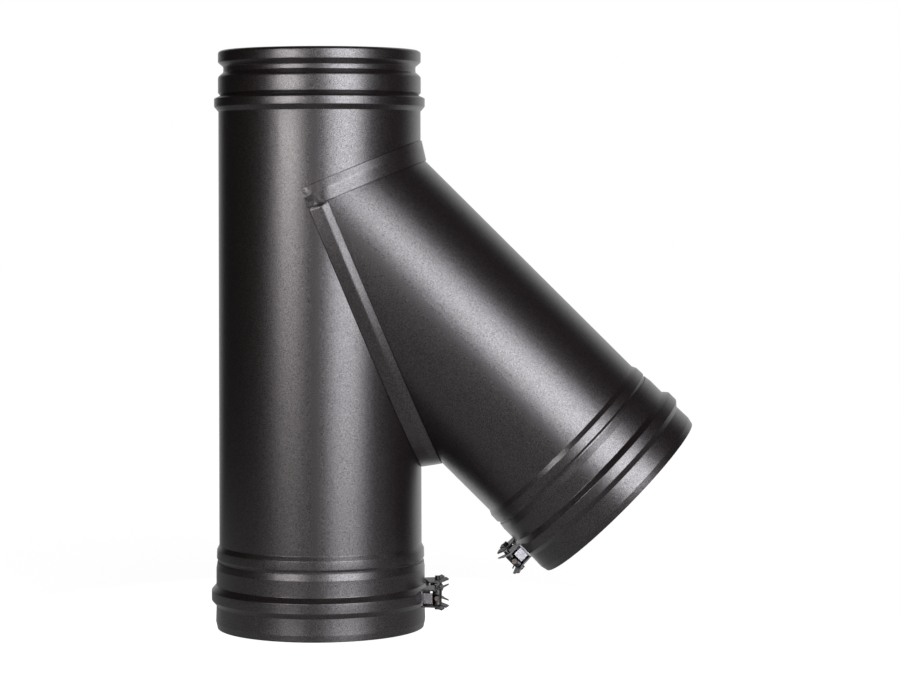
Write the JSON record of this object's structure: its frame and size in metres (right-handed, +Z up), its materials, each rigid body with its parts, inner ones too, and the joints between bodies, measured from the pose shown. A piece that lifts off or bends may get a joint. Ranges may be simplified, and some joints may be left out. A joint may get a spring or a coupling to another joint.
{
  "type": "forty-five degree tee",
  "caption": "Upright insulated round flue tee with an equal branch at forty-five degrees, a rolled spigot top and split locking bands with screw clamps on its lower and branch ends.",
  "frame": {"origin": "centre of the run's lower rim, on the plane that the tee stands on", "axes": "+Z up along the run, the branch leaves the run towards +X and down, Y across the plane of the two axes"},
  "size_m": [0.4753, 0.2152, 0.569],
  "materials": {
    "casing_powder_coat": "satin",
    "strip_powder_coat": "satin",
    "band_powder_coat": "satin",
    "lug_powder_coat": "satin",
    "clamp_hardware": "satin",
    "liner_steel": "satin",
    "end_ring_steel": "satin",
    "mineral_wool": "matte"
  },
  "bodies": {
    "root": {"main_casing": "casing_powder_coat", "branch_casing": "casing_powder_coat", "main_liner": "liner_steel", "branch_liner": "liner_steel", "main_insulation": "mineral_wool", "branch_insulation": "mineral_wool", "top_end_ring": "end_ring_steel", "lower_end_ring": "end_ring_steel", "branch_end_ring": "end_ring_steel", "lower_seam_strip": "strip_powder_coat", "upper_seam_strip": "strip_powder_coat", "run_locking_band": "band_powder_coat", "run_near_lug": "lug_powder_coat", "run_far_lug": "lug_powder_coat", "run_clamp_bolt": "clamp_hardware", "run_bolt_washer": "clamp_hardware", "run_barrel_nut": "clamp_hardware", "run_barrel_sleeve": "clamp_hardware", "branch_locking_band": "band_powder_coat", "branch_near_lug": "lug_powder_coat", "branch_far_lug": "lug_powder_coat", "branch_clamp_bolt": "clamp_hardware", "branch_bolt_washer": "clamp_hardware", "branch_barrel_nut": "clamp_hardware", "branch_barrel_sleeve": "clamp_hardware"}
  },
  "joints": []
}
